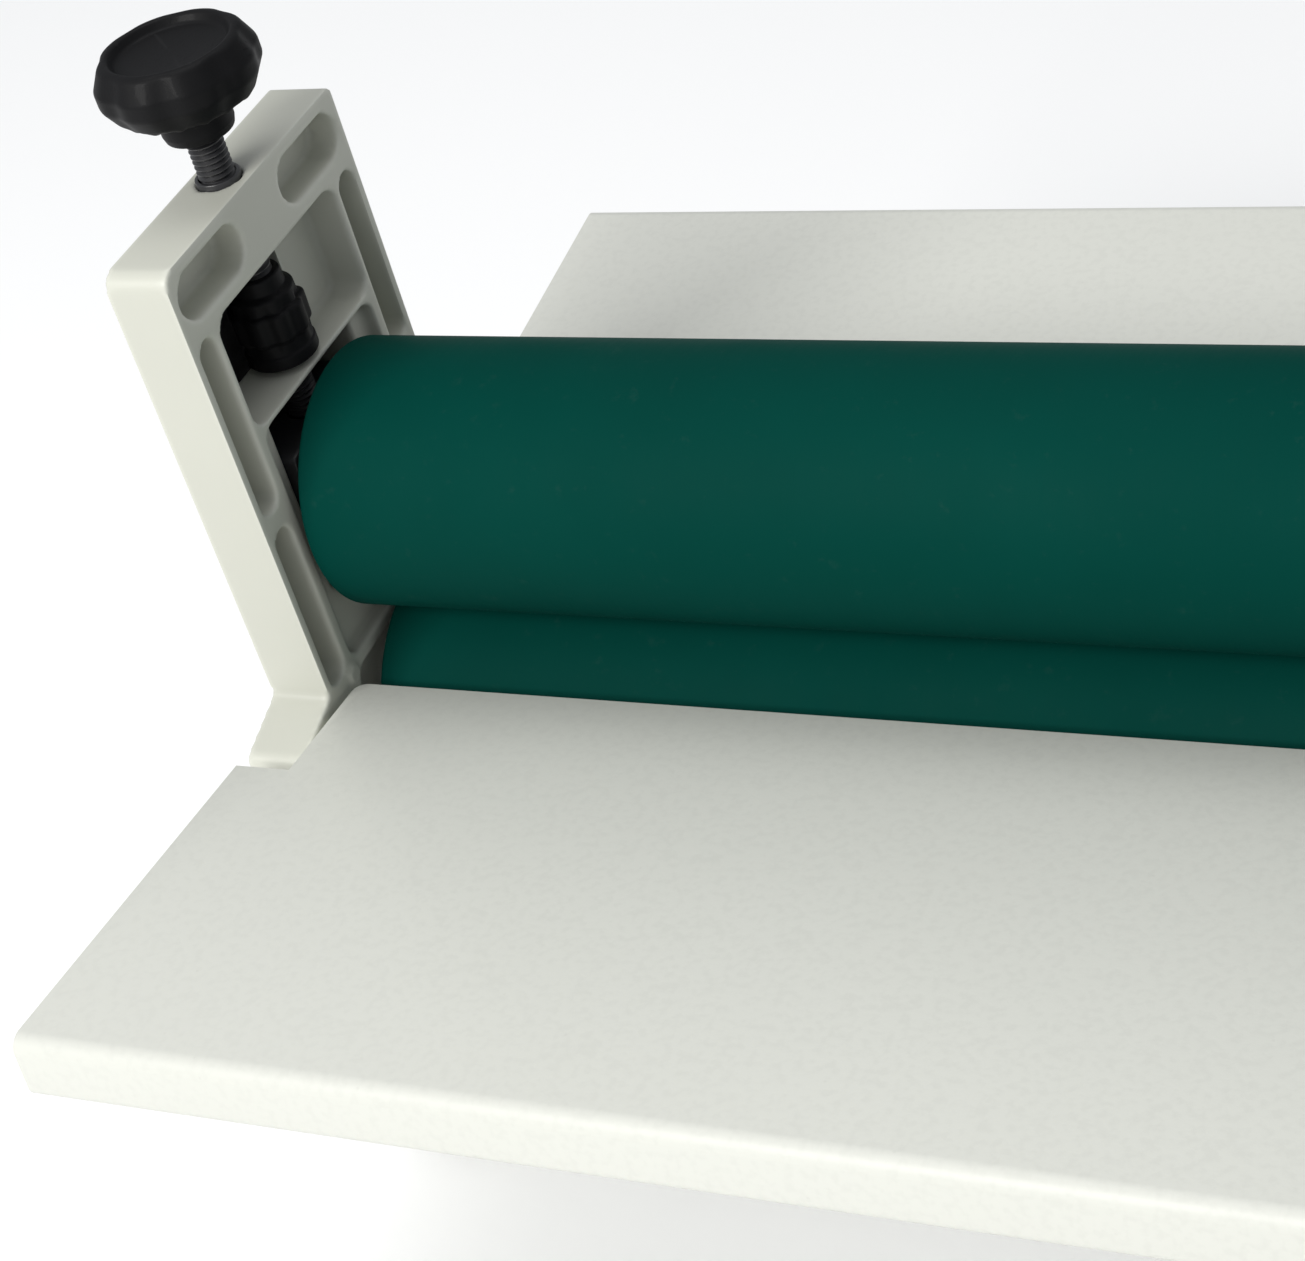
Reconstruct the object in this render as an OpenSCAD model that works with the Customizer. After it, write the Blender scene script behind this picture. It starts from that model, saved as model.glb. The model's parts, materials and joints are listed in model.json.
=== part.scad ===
// Cold roll laminator, bench model, cranked by hand.
// The origin is on the desk under the middle of the machine. +X runs along the rollers to the
// crank, +Y to the rear table and +Z up. Millimetres.

/* [Rollers] */
// Diameter of both rollers over the rubber
roller_d = 60; // [58:1:62]
// Length of the rubber faces
face_w = 700; // [350:10:1000]
// Thickness of the rubber sleeves
rubber_t = 8; // [6:0.5:10]
// Wall of the steel roller tubes
tube_t = 5; // [4:0.5:6]
// Height of the lower roller's axis above the desk
lower_axis_z = 105; // [100:1:115]
// Gap at the nip with the upper roller down
nip_gap = 0.3; // [0.3:0.1:0.6]
// How far the upper roller lifts
lift = 10; // [4:1:10]
// Diameter of the lower roller's journals
lower_journal_d = 20; // [18:1:20]
// Diameter of the upper roller's journals
upper_journal_d = 16; // [14:1:17]

/* [End frames] */
// Thickness of the end castings
frame_t = 15; // [14:0.5:16]
// Gap between a roller's face and the casting
frame_gap = 3; // [3:0.5:4]
// Half depth of the upper part of a casting
frame_up_hw = 38; // [37:0.5:39]
// Half depth of the foot part of a casting
frame_low_hw = 54.6; // [54:0.2:56]
// Height of the casting's top above the upper axis
frame_top = 75.6; // [74:0.2:78]
// Depth of the casting pockets
pocket_depth = 8; // [6:0.5:9]

/* [Pressure adjusters] */
// Diameter of the spindle thread
spindle_d = 8; // [7:0.5:8]
// Largest diameter of the hand knobs
knob_d = 35.4; // [32:0.2:37]
// Number of finger scallops on a knob
knob_lobes = 8; // [6:1:9]

/* [Tables] */
// Thickness of the table sheet
sheet_t = 1.5; // [1.2:0.1:2]
// Outward rise of the tables, in degrees
table_rise = 5.54; // [4:0.01:6]
// Distance from the roller plane to the outer bend of a table
table_reach = 151; // [146:0.5:152]
// Depth of the turned down front lip
lip_h = 14.7; // [13:0.1:16]

/* [Crank] */
// Radius of the crank
crank_r = 85; // [80:1:88]
// Diameter of the crank's grip
grip_d = 24; // [22:1:26]
// Length of the crank's grip
grip_l = 76; // [70:1:90]

/* [Hidden] */

$fn = 48;
eps = 0.5;                                    // overrun of a cut past a face
slip = 0.05;                                  // radial clearance of a running fit
r_roll = roller_d / 2;
half_w = face_w / 2;
inner_x = half_w + frame_gap;                 // inner face of a casting
outer_x = inner_x + frame_t;                  // outer face of a casting
mid_t = inner_x + frame_t / 2;                // plane of the spindles
za = lower_axis_z + roller_d + nip_gap;       // upper roller's axis
top_z = za + frame_top;

// casting
foot_h = 10;                                  // rubber feet
shoulder_z = za - 34.8;
shoulder_drop = 4;
top_r_front = 4;
top_r_rear = 1.5;
pad_w = 15;                                   // foot pad, inward
pad_h = 7;
pad_y0 = 32;
foot_y = 43;
foot_x = inner_x - 0.5;
foot_r = 11;
arch_hw = 24;
arch_h = 15;

// adjuster window and bearing window
win_hw = 27;
win_step = 9.6;                               // depth at which the window narrows
win_out_y = [-24, 12];                        // its front and rear limits beyond that
win_z0 = za + 30;
win_z1 = za + 57.6;
slot_hw = 19.35;
slot_z0 = za - 19;
recess_hw = 25.5;
recess_depth = 3;
recess_z0 = za - 33.9;
recess_z1 = za + 28.5;

// bearing blocks and spindles
block_t = 13;
block_hw = slot_hw - 0.25;
block_h = 34;
slot_z1 = za + block_h / 2 + lift + 0.3;
block_x0 = inner_x + 0.5;
upper_bush_r = 10.5;
lower_bush_r = 14;
collar_r = 6;
collar_h = 2.4;
collar_z = za + 12.3;
spindle_r = spindle_d / 2;
spindle_bush_r = 5;
bush_proud = 1.2;
knob_z0 = za + 87;

// adjuster lock nuts, heights above the upper axis
nut_z = [31.5, 34.5, 38, 45, 48.5, 52.5];
nut_r = [8.1, 8.6, 7.6, 4.9];
nut_lobes = 9;

// covers
cover_hw = 30;
cover_z0 = za - 26;
cover_z1 = za + 66;
cover_wall = 2;
cover_proud = 6;
cover_screw_y = 24;
cover_screw_dz = [-21.5, 61.3];

// bars, rails and tables
bar_r = 7;
bar_y = 40;
bar_z = 34;
bolt_head_h = 2;                              // depth of the bolts' countersinks
table_y0 = 29;                                // inner edge of a table
table_z0 = za - 38.1;                         // its surface there
table_len = (table_reach - table_y0) / cos(table_rise);
bend_r = 3.5;
hem_r = 2.5;
notch_y = 61.5;                               // outer end of the notch for the casting
table_in_x = half_w + 1.5;
table_out_x = half_w + 15;
flange_h = 11;
rail_u = [12, 23];                            // rail, along the table from its inner edge
rail_h = 12;
stud_r = 2.5;
stud_x = [for (i = [-2:2]) i * half_w * 0.46];

// lower drive and crank
bush_flange_t = 1.6;
journal_in = 40;                              // journal inside the tube
tube_r = r_roll - rubber_t;
plug_r = tube_r - tube_t;
clip_t = 1.2;
hub_x = outer_x + 6;
hub_l = 17;
hub_r = 14;
arm_t = 7;
arm_x = hub_x + 4;
grip_x = arm_x + arm_t + 0.6;
axle_r = 5;
grip_end_h = 6;

// the whole machine reaches from the left knob to the grip's end nut
left_end = mid_t + knob_d / 2;
right_end = grip_x + grip_l + 0.6 + grip_end_h;
mid_x = (left_end - right_end) / 2;

// ---- helpers ----

function arc(c, r, a0, a1, n = 6) =
    [for (i = [0:n]) let (a = a0 + (a1 - a0) * i / n) [c[0] + r * cos(a), c[1] + r * sin(a)]];

// moves a part from the rollers' middle to the machine's middle
module centred() translate([mid_x, 0, 0]) children();

// side -1 is the left end, 1 the right end; parts are drawn at the right end
module at_end(side) mirror([side < 0 ? 1 : 0, 0, 0]) children();

// side 1 is the rear, -1 the front
module at_rear(side) mirror([0, side < 0 ? 1 : 0, 0]) children();

// a flat outline in (Y, Z) raised along +X from x0
module slab(x0, t) translate([x0, 0, 0]) rotate([90, 0, 90]) linear_extrude(t) children();

// a round bar along +X
module rod(x0, x1, r, y = 0, z = 0, fn = 48)
    translate([x0, y, z]) rotate([0, 90, 0]) cylinder(r = r, h = x1 - x0, $fn = fn);

// a flat slot with full round ends
module slot2(a, b, r) {
    translate(a) circle(r);
    translate(b) circle(r);
    if (a[0] == b[0])
        translate([a[0] - r, a[1]]) square([2 * r, b[1] - a[1]]);
    else
        translate([a[0], a[1] - r]) square([b[0] - a[0], 2 * r]);
}

// a rectangle with round corners, from corner a to corner b
module round_rect(a, b, r) polygon(concat(
    arc([b[0] - r, b[1] - r], r, 0, 90), arc([a[0] + r, b[1] - r], r, 90, 180),
    arc([a[0] + r, a[1] + r], r, 180, 270), arc([b[0] - r, a[1] + r], r, 270, 360)));

// the cone under a bolt's head, h high
module countersink(h) translate([outer_x - bolt_head_h, 0, 0])
    rotate([0, 90, 0]) cylinder(r1 = 3, r2 = 3 + h, h = h);

// ---- end castings ----

module frame_outline() polygon(concat(
    [[-arch_hw, foot_h]],
    arc([-arch_hw + 8, foot_h + arch_h - 8], 8, 180, 90),
    arc([arch_hw - 8, foot_h + arch_h - 8], 8, 90, 0),
    [[arch_hw, foot_h]],
    arc([frame_low_hw - 2, foot_h + 2], 2, -90, 0),
    arc([frame_low_hw - 3, shoulder_z - shoulder_drop - 3], 3, 0, 80),
    [[frame_up_hw, shoulder_z]],
    arc([frame_up_hw - top_r_rear, top_z - top_r_rear], top_r_rear, 0, 90),
    arc([-frame_up_hw + top_r_front, top_z - top_r_front], top_r_front, 90, 180),
    [[-frame_up_hw, shoulder_z]],
    arc([-frame_low_hw + 3, shoulder_z - shoulder_drop - 3], 3, 100, 180),
    arc([-frame_low_hw + 2, foot_h + 2], 2, 180, 270)));

module frame_pockets() {
    for (s = [-1, 1]) {
        slot2([s < 0 ? -30 : 14.5, za + 67], [s < 0 ? -14.5 : 30, za + 67], 5.5);
        slot2([s * 32.5, za + 16.5], [s * 32.5, za + 53.5], 3.5);
        slot2([s * 32.5, za - 31], [s * 32.5, za + 4.6], 3.5);
        round_rect([s < 0 ? -49 : 20, foot_h + 40], [s < 0 ? -20 : 49, foot_h + 74], 6);
    }
}

module casting() {
    difference() {
        union() {
            slab(inner_x, frame_t) frame_outline();
            for (s = [-1, 1]) {
                translate([inner_x - pad_w, s < 0 ? -frame_low_hw + 1 : pad_y0, foot_h])
                    cube([pad_w + 1, frame_low_hw - 1 - pad_y0, pad_h]);
                rod(inner_x - 0.8, inner_x + 1, 2, s * 27.5, za - 36.5);
            }
        }
        slab(inner_x - eps, pocket_depth + eps) frame_pockets();
        slab(inner_x - eps, recess_depth + eps)
            round_rect([-recess_hw, recess_z0], [recess_hw, recess_z1], 3.6);
        slab(inner_x - eps, recess_depth + eps) difference() {
            round_rect([-recess_hw, lower_axis_z - 16], [recess_hw, recess_z0 - 3.6], 3.6);
            translate([0, lower_axis_z]) circle(18.5);
        }
        slab(inner_x - eps, win_step + eps) round_rect([-win_hw, win_z0], [win_hw, win_z1], 4);
        slab(inner_x, frame_t + eps) round_rect([win_out_y[0], win_z0], [win_out_y[1], win_z1], 4);
        slab(inner_x, frame_t + eps)
            translate([-slot_hw, slot_z0]) square([2 * slot_hw, slot_z1 - slot_z0]);
        translate([mid_t, 0, win_z1 - eps]) cylinder(r = spindle_bush_r, h = 30);
        translate([mid_t, 0, slot_z1 - eps]) cylinder(r = spindle_r + slip, h = 5);
        rod(inner_x - 2, outer_x + eps, lower_bush_r, 0, lower_axis_z);
        for (s = [-1, 1]) {
            translate([0, s * bar_y, bar_z]) {
                rod(inner_x - 2, outer_x, 3);
                countersink(bolt_head_h + eps);
            }
            rail_bolt_place(s) {
                rod(inner_x - 2, outer_x, 3);
                countersink(bolt_head_h + eps);
            }
            translate([foot_x, s * foot_y, foot_h - eps]) cylinder(r = 2.5, h = 15);
            for (dz = cover_screw_dz) rod(outer_x - 5, outer_x + eps, 1.5, s * cover_screw_y, za + dz);
        }
    }
}

module frame_left() color("#e6e7da") at_end(-1) casting();
module frame_right() color("#e6e7da") at_end(1) casting();

// flanged plain bush of the lower roller
module lower_bush(side) color("#a8854a") at_end(side) difference() {
    union() {
        rod(inner_x, outer_x, lower_bush_r, 0, lower_axis_z);
        rod(inner_x - bush_flange_t, inner_x, 17, 0, lower_axis_z);
    }
    rod(inner_x - 3, outer_x + 3, lower_journal_d / 2 + slip, 0, lower_axis_z);
}
module lower_bush_left() lower_bush(-1);
module lower_bush_right() lower_bush(1);

// threaded bush in the casting's top
module spindle_bush(side) color("#202022") at_end(side) translate([mid_t, 0, 0]) difference() {
    translate([0, 0, win_z1]) cylinder(r = spindle_bush_r, h = top_z + bush_proud - win_z1);
    translate([0, 0, win_z1 - 1]) cylinder(r = spindle_r + slip, h = 30);
}
module spindle_bush_left() spindle_bush(-1);
module spindle_bush_right() spindle_bush(1);

// tray shaped dust cover over both windows
module outer_cover(side) color("#26262a") at_end(side) difference() {
    union() {
        difference() {
            slab(outer_x, cover_proud) round_rect([-cover_hw, cover_z0], [cover_hw, cover_z1], 6);
            slab(outer_x - eps, cover_proud - cover_wall + eps) round_rect(
                [-cover_hw + cover_wall, cover_z0 + cover_wall],
                [cover_hw - cover_wall, cover_z1 - cover_wall], 4);
        }
        for (s = [-1, 1], dz = cover_screw_dz)
            rod(outer_x, outer_x + cover_proud - 1, 3.2, s * cover_screw_y, za + dz);
    }
    for (s = [-1, 1], dz = cover_screw_dz) {
        rod(outer_x - 1, outer_x + cover_proud + 1, 1.6, s * cover_screw_y, za + dz);
        rod(outer_x + cover_proud - 1.8, outer_x + cover_proud + 1, 3, s * cover_screw_y, za + dz);
    }
}
module outer_cover_left() outer_cover(-1);
module outer_cover_right() outer_cover(1);

module cover_screws(side) color("#8f9296") at_end(side)
    for (s = [-1, 1], dz = cover_screw_dz) difference() {
        union() {
            rod(outer_x - 4.5, outer_x + cover_proud - 1.8, 1.45, s * cover_screw_y, za + dz);
            rod(outer_x + cover_proud - 1.8, outer_x + cover_proud - 0.3, 2.8, s * cover_screw_y, za + dz);
        }
        translate([outer_x + cover_proud - 0.9, s * cover_screw_y - 2, za + dz - 0.35])
            cube([2, 4, 0.7]);
    }
module cover_screws_left() cover_screws(-1);
module cover_screws_right() cover_screws(1);

// ---- bars, rails and tables ----

module tie_bar(side) color("#b4b7ba") difference() {
    rod(-inner_x, inner_x, bar_r, side * bar_y, bar_z);
    for (s = [-1, 1]) at_end(s) rod(inner_x - 18, inner_x + 1, 3, side * bar_y, bar_z);
}
module front_tie_bar() tie_bar(-1);
module rear_tie_bar() tie_bar(1);

// places children in the rear table's own frame: x along, y outward, z square to the sheet
module on_table(side) at_rear(side)
    translate([0, table_y0, table_z0]) rotate([table_rise, 0, 0]) children();

// the axis of a rail's end bolts
module rail_bolt_place(side) on_table(side)
    translate([0, (rail_u[0] + rail_u[1]) / 2, -sheet_t - rail_h / 2]) children();

module table_rail(side) color("#d9dace") on_table(side) difference() {
    translate([-inner_x, rail_u[0], -sheet_t - rail_h]) cube([2 * inner_x, rail_u[1] - rail_u[0], rail_h]);
    for (s = [-1, 1]) at_end(s) translate([0, (rail_u[0] + rail_u[1]) / 2, -sheet_t - rail_h / 2])
        rod(inner_x - 18, inner_x + 1, 3);
    for (x = stud_x) translate([x, (rail_u[0] + rail_u[1]) / 2, -sheet_t - rail_h - 1])
        cylinder(r = stud_r + 0.3, h = rail_h + 2);
}
module front_table_rail() table_rail(-1);
module rear_table_rail() table_rail(1);

// countersunk socket bolts of the tie bars and rails, through one casting
module bolt() difference() {
    union() {
        rod(inner_x - 17, outer_x - bolt_head_h, 2.9);
        countersink(bolt_head_h - 0.1);
    }
    rod(outer_x - 2.4, outer_x + 1, 2.1, 0, 0, 6);
}
module frame_bolts(side) color("#8f9296") at_end(side) for (s = [-1, 1]) {
    translate([0, s * bar_y, bar_z]) bolt();
    rail_bolt_place(s) bolt();
}
module frame_bolts_left() frame_bolts(-1);
module frame_bolts_right() frame_bolts(1);

// section of a table: flat sheet, outer bend, lip and inward hem, as (outward, up)
module table_section() {
    top = arc([table_len - bend_r, -bend_r], bend_r, 90, 0);
    hem = arc([table_len - hem_r, -lip_h + hem_r], hem_r, 0, -90);
    hem_in = arc([table_len - hem_r, -lip_h + hem_r], hem_r - sheet_t, -90, 0);
    top_in = arc([table_len - bend_r, -bend_r], bend_r - sheet_t, 0, 90);
    polygon(concat([[0, -sheet_t], [0, 0]], top, hem,
        [[table_len - hem_r - 5, -lip_h], [table_len - hem_r - 5, -lip_h + sheet_t]], hem_in, top_in));
}

module table(side) color("#dfe2dc") on_table(side) difference() {
    union() {
        translate([-table_out_x, 0, 0]) rotate([90, 0, 90]) linear_extrude(2 * table_out_x) table_section();
        for (s = [-1, 1]) at_end(s)
            translate([table_out_x - sheet_t, notch_y - table_y0 + 3, -flange_h])
                cube([sheet_t, table_len - notch_y + table_y0 - 3 - bend_r, flange_h - 0.4]);
    }
    for (s = [-1, 1]) at_end(s) {
        translate([table_in_x, -1, -sheet_t - 1])
            cube([table_out_x, notch_y - table_y0 + 1, sheet_t + 2]);
        difference() {
            translate([table_in_x - 3, -1, -sheet_t - 1]) cube([4, 4, sheet_t + 2]);
            translate([table_in_x - 3, 3, -sheet_t - 2]) cylinder(r = 3, h = sheet_t + 4);
        }
    }
}
module front_table() table(-1);
module rear_table() table(1);

// weld studs under a table, through its rail
module table_studs(side) color("#a9acaf") on_table(side)
    for (x = stud_x) translate([x, (rail_u[0] + rail_u[1]) / 2, -sheet_t - rail_h - 7])
        cylinder(r = stud_r, h = rail_h + 7);
module front_table_studs() table_studs(-1);
module rear_table_studs() table_studs(1);

// nuts on the weld studs, under the rails
module table_nuts(side) color("#8f9296") on_table(side)
    for (x = stud_x) translate([x, (rail_u[0] + rail_u[1]) / 2, -sheet_t - rail_h - 5]) difference() {
        union() {
            cylinder(r = 4.6, h = 4, $fn = 6);
            translate([0, 0, 4]) cylinder(r = 5, h = 1);
        }
        translate([0, 0, -1]) cylinder(r = stud_r + 0.02, h = 7);
    }
module front_table_nuts() table_nuts(-1);
module rear_table_nuts() table_nuts(1);

// ---- feet ----

module foot(side_x, side_y) color("#2b2b2b") at_end(side_x) translate([foot_x, side_y * foot_y, 0]) difference() {
    cylinder(r1 = foot_r - 1.5, r2 = foot_r, h = foot_h);
    translate([0, 0, -1]) cylinder(r = 5, h = 6);
    translate([0, 0, 1]) cylinder(r = 2.6, h = foot_h);
}
module foot_front_left() foot(-1, -1);
module foot_front_right() foot(1, -1);
module foot_rear_left() foot(-1, 1);
module foot_rear_right() foot(1, 1);

module foot_screws() color("#8f9296")
    for (sx = [-1, 1], sy = [-1, 1]) at_end(sx) translate([foot_x, sy * foot_y, 0]) difference() {
        union() {
            translate([0, 0, 3]) cylinder(r = 4.6, h = 2);
            translate([0, 0, 5]) cylinder(r = 2.45, h = foot_h + 7);
        }
        translate([0, 0, 2]) cylinder(r = 1.6, h = 2, $fn = 6);
    }

// ---- lower roller and crank ----

module sleeve(z) color("#0f4a40") difference() {
    rod(-half_w, half_w, r_roll, 0, z, 96);
    rod(-half_w - 1, half_w + 1, tube_r, 0, z);
}
module tube(z) color("#a9acaf") difference() {
    rod(-half_w, half_w, tube_r, 0, z);
    rod(-half_w - 1, half_w + 1, plug_r, 0, z);
}
module lower_roller_rubber() sleeve(lower_axis_z);
module lower_roller_tube() tube(lower_axis_z);

module lower_journal(side, end_x) color("#b9bcc0") at_end(side) difference() {
    union() {
        rod(half_w - journal_in, half_w, plug_r, 0, lower_axis_z);
        rod(half_w, end_x, lower_journal_d / 2, 0, lower_axis_z);
    }
    difference() {
        rod(outer_x + 1.2, outer_x + 1.2 + clip_t, lower_journal_d / 2 + 1, 0, lower_axis_z);
        rod(outer_x, outer_x + 4, lower_journal_d / 2 - 0.8, 0, lower_axis_z);
    }
    rod(end_x - 16, end_x + 1, 3, 0, lower_axis_z);
    if (side > 0) translate([hub_x + hub_l / 2 + 2, 0, lower_axis_z - 20]) cylinder(r = 2.5, h = 40);
}
module lower_journal_left() lower_journal(-1, outer_x + 4.5);
module lower_journal_right() lower_journal(1, hub_x + hub_l);

// retaining rings in the journal grooves
module lower_clip(side) color("#3a3a3c") at_end(side) difference() {
    rod(outer_x + 1.2, outer_x + 1.2 + clip_t, 12.4, 0, lower_axis_z);
    rod(outer_x, outer_x + 4, lower_journal_d / 2 - 0.8, 0, lower_axis_z);
    translate([outer_x, -1.6, lower_axis_z - 14]) cube([4, 3.2, 14]);
}
module lower_clip_left() lower_clip(-1);
module lower_clip_right() lower_clip(1);

module crank_arm() color("#2a2b2d") difference() {
    union() {
        rod(hub_x, hub_x + hub_l, hub_r, 0, lower_axis_z);
        slab(arm_x, arm_t) {
            translate([0, lower_axis_z - crank_r]) circle(10);
            polygon([[-12, lower_axis_z], [-9.6, lower_axis_z - crank_r],
                [9.6, lower_axis_z - crank_r], [12, lower_axis_z]]);
        }
    }
    rod(hub_x - 1, hub_x + hub_l + 1, lower_journal_d / 2, 0, lower_axis_z);
    rod(arm_x - 1, arm_x + arm_t + 1, axle_r - 1, 0, lower_axis_z - crank_r);
    translate([hub_x + hub_l / 2 + 2, 0, lower_axis_z - 20]) cylinder(r = 2.5, h = 40);
}

module crank_pin() color("#9a9da1") difference() {
    translate([hub_x + hub_l / 2 + 2, 0, lower_axis_z - hub_r + 0.3]) cylinder(r = 2.5, h = 2 * hub_r - 0.6);
    rod(hub_x + hub_l - 16, hub_x + hub_l + 1, 2.95, 0, lower_axis_z);
}
module crank_washer() color("#9a9da1") difference() {
    rod(hub_x + hub_l, hub_x + hub_l + 1.5, 12, 0, lower_axis_z);
    rod(hub_x + hub_l - 1, hub_x + hub_l + 3, 3, 0, lower_axis_z);
}
module crank_screw() color("#8f9296") difference() {
    union() {
        rod(hub_x + hub_l - 15, hub_x + hub_l + 1.5, 2.9, 0, lower_axis_z);
        rod(hub_x + hub_l + 1.5, hub_x + hub_l + 5.5, 5, 0, lower_axis_z);
    }
    rod(hub_x + hub_l + 3.2, hub_x + hub_l + 7, 2.6, 0, lower_axis_z, 6);
}

// fixed axle of the crank's grip, riveted through the arm, and its domed end nut
module grip_axle() color("#b9bcc0") {
    rod(arm_x - 1.4, arm_x, 6.5, 0, lower_axis_z - crank_r);
    rod(arm_x, arm_x + arm_t, axle_r - 1, 0, lower_axis_z - crank_r);
    rod(arm_x + arm_t, grip_x + grip_l + 0.6, axle_r, 0, lower_axis_z - crank_r);
    rod(grip_x + grip_l + 0.6, grip_x + grip_l + 0.6 + grip_end_h - 1.5, 3, 0, lower_axis_z - crank_r);
}
module grip_nut() color("#26262a") translate([grip_x + grip_l + 0.6, 0, lower_axis_z - crank_r])
    rotate([0, 90, 0]) difference() {
        union() {
            cylinder(r = 8, h = 2.5);
            translate([0, 0, 2.5]) cylinder(r1 = 8, r2 = 5, h = grip_end_h - 2.5);
        }
        translate([0, 0, -1]) cylinder(r = 3, h = grip_end_h - 0.5);
    }
module grip_sleeve() color("#1d1d1f") translate([grip_x, 0, lower_axis_z - crank_r])
    rotate([0, 90, 0]) rotate_extrude() polygon(concat(
        [[axle_r + slip, 0], [grip_d / 2 - 3, 0]],
        arc([grip_d / 2 - 3, 2], 2, -90, 0),
        [[grip_d / 2 - 1, grip_l * 0.3], [grip_d / 2, grip_l * 0.55], [grip_d / 2 - 0.5, grip_l * 0.8]],
        arc([grip_d / 2 - 4, grip_l - 3], 3, 0, 90),
        [[axle_r + slip, grip_l]]));

// ---- upper roller carriage ----

module bearing_block(side) color("#2f3133") at_end(side) difference() {
    slab(block_x0, block_t) round_rect([-block_hw, za - block_h / 2], [block_hw, za + block_h / 2], 1.6);
    rod(block_x0 - 1, block_x0 + block_t + 1, upper_bush_r, 0, za);
    translate([block_x0 - 1, -collar_r - 0.3, collar_z - 0.1]) cube([mid_t - block_x0 + 8.1, 2 * collar_r + 0.6, 2.7]);
    translate([block_x0 - 1, -spindle_r - 0.2, collar_z]) cube([mid_t - block_x0 + 1, 2 * spindle_r + 0.4, 9]);
    translate([mid_t, 0, collar_z]) cylinder(r = spindle_r + 0.2, h = 9);
}
module bearing_block_left() bearing_block(-1);
module bearing_block_right() bearing_block(1);

module upper_bush(side) color("#a8854a") at_end(side) difference() {
    union() {
        rod(block_x0, block_x0 + block_t, upper_bush_r, 0, za);
        rod(block_x0 - bush_flange_t, block_x0, 13, 0, za);
    }
    rod(block_x0 - 3, block_x0 + block_t + 1, upper_journal_d / 2 + slip, 0, za);
}
module upper_bush_left() upper_bush(-1);
module upper_bush_right() upper_bush(1);

module upper_roller_rubber() sleeve(za);
module upper_roller_tube() tube(za);

module upper_journal(side) color("#b9bcc0") at_end(side) {
    rod(half_w - journal_in, half_w, plug_r, 0, za);
    rod(half_w, outer_x - 0.5, upper_journal_d / 2, 0, za);
}
module upper_journal_left() upper_journal(-1);
module upper_journal_right() upper_journal(1);

// ---- pressure spindles, knobs and lock nuts ----

module spindle(side) color("#242527") at_end(side) translate([mid_t, 0, 0]) {
    translate([0, 0, collar_z]) cylinder(r = collar_r, h = collar_h);
    translate([0, 0, collar_z]) cylinder(r = spindle_r, h = knob_z0 + 14 - collar_z);
}
module spindle_left() spindle(-1);
module spindle_right() spindle(1);

// moulded knob: hub, underside, lobed head and dished top
module knob(side) color("#1c1c1e") at_end(side) translate([mid_t, 0, knob_z0]) difference() {
    rotate_extrude($fn = 64) polygon(concat(
        [[0, 0], [7, 0], [7.9, 0.8], [7.9, 7]],
        arc([knob_d / 2 - 4.6, 12], 4.6, -70, 0),
        arc([knob_d / 2 - 5, 16], 5, 0, 75),
        [[13.6, 20.6], [12.4, 18.2], [0, 17.6]]));
    for (i = [0:knob_lobes - 1]) rotate((i + 0.5) * 360 / knob_lobes)
        translate([knob_d / 2 + 2.4, 0, 4]) cylinder(r = 3.2, h = 20);
    translate([0, 0, -1]) cylinder(r = spindle_r, h = 15);
}
module knob_left() knob(-1);
module knob_right() knob(1);

// lobed lock nut on the spindle, standing on the sill of the window
module lock_nut(side) color("#1c1c1e") at_end(side) translate([mid_t, 0, za]) difference() {
    union() {
        translate([0, 0, nut_z[0]]) cylinder(r = nut_r[0], h = nut_z[1] - nut_z[0]);
        translate([0, 0, nut_z[1]]) cylinder(r = nut_r[1] - 0.6, h = nut_z[2] - nut_z[1]);
        translate([0, 0, nut_z[2]]) linear_extrude(nut_z[3] - nut_z[2]) {
            circle(nut_r[1] - 0.4);
            for (i = [0:nut_lobes - 1]) rotate(i * 360 / nut_lobes) translate([nut_r[1] - 1.2, 0]) circle(1.6);
        }
        translate([0, 0, nut_z[3]]) cylinder(r = nut_r[2], h = nut_z[4] - nut_z[3]);
        translate([0, 0, nut_z[4]]) cylinder(r = nut_r[3] + 0.8, h = nut_z[5] - nut_z[4]);
    }
    translate([0, 0, nut_z[0] - 1]) cylinder(r = spindle_r + slip, h = 30);
}
module lock_nut_left() lock_nut(-1);
module lock_nut_right() lock_nut(1);

centred() frame_left();
centred() frame_right();
centred() lower_bush_left();
centred() lower_bush_right();
centred() spindle_bush_left();
centred() spindle_bush_right();
centred() outer_cover_left();
centred() outer_cover_right();
centred() cover_screws_left();
centred() cover_screws_right();
centred() front_tie_bar();
centred() rear_tie_bar();
centred() front_table_rail();
centred() rear_table_rail();
centred() frame_bolts_left();
centred() frame_bolts_right();
centred() front_table();
centred() rear_table();
centred() front_table_studs();
centred() rear_table_studs();
centred() front_table_nuts();
centred() rear_table_nuts();
centred() foot_front_left();
centred() foot_front_right();
centred() foot_rear_left();
centred() foot_rear_right();
centred() foot_screws();
centred() lower_roller_rubber();
centred() lower_roller_tube();
centred() lower_journal_left();
centred() lower_journal_right();
centred() lower_clip_left();
centred() lower_clip_right();
centred() crank_arm();
centred() crank_pin();
centred() crank_washer();
centred() crank_screw();
centred() grip_axle();
centred() grip_nut();
centred() grip_sleeve();
centred() bearing_block_left();
centred() bearing_block_right();
centred() upper_bush_left();
centred() upper_bush_right();
centred() upper_roller_rubber();
centred() upper_roller_tube();
centred() upper_journal_left();
centred() upper_journal_right();
centred() spindle_left();
centred() spindle_right();
centred() knob_left();
centred() knob_right();
centred() lock_nut_left();
centred() lock_nut_right();
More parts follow.
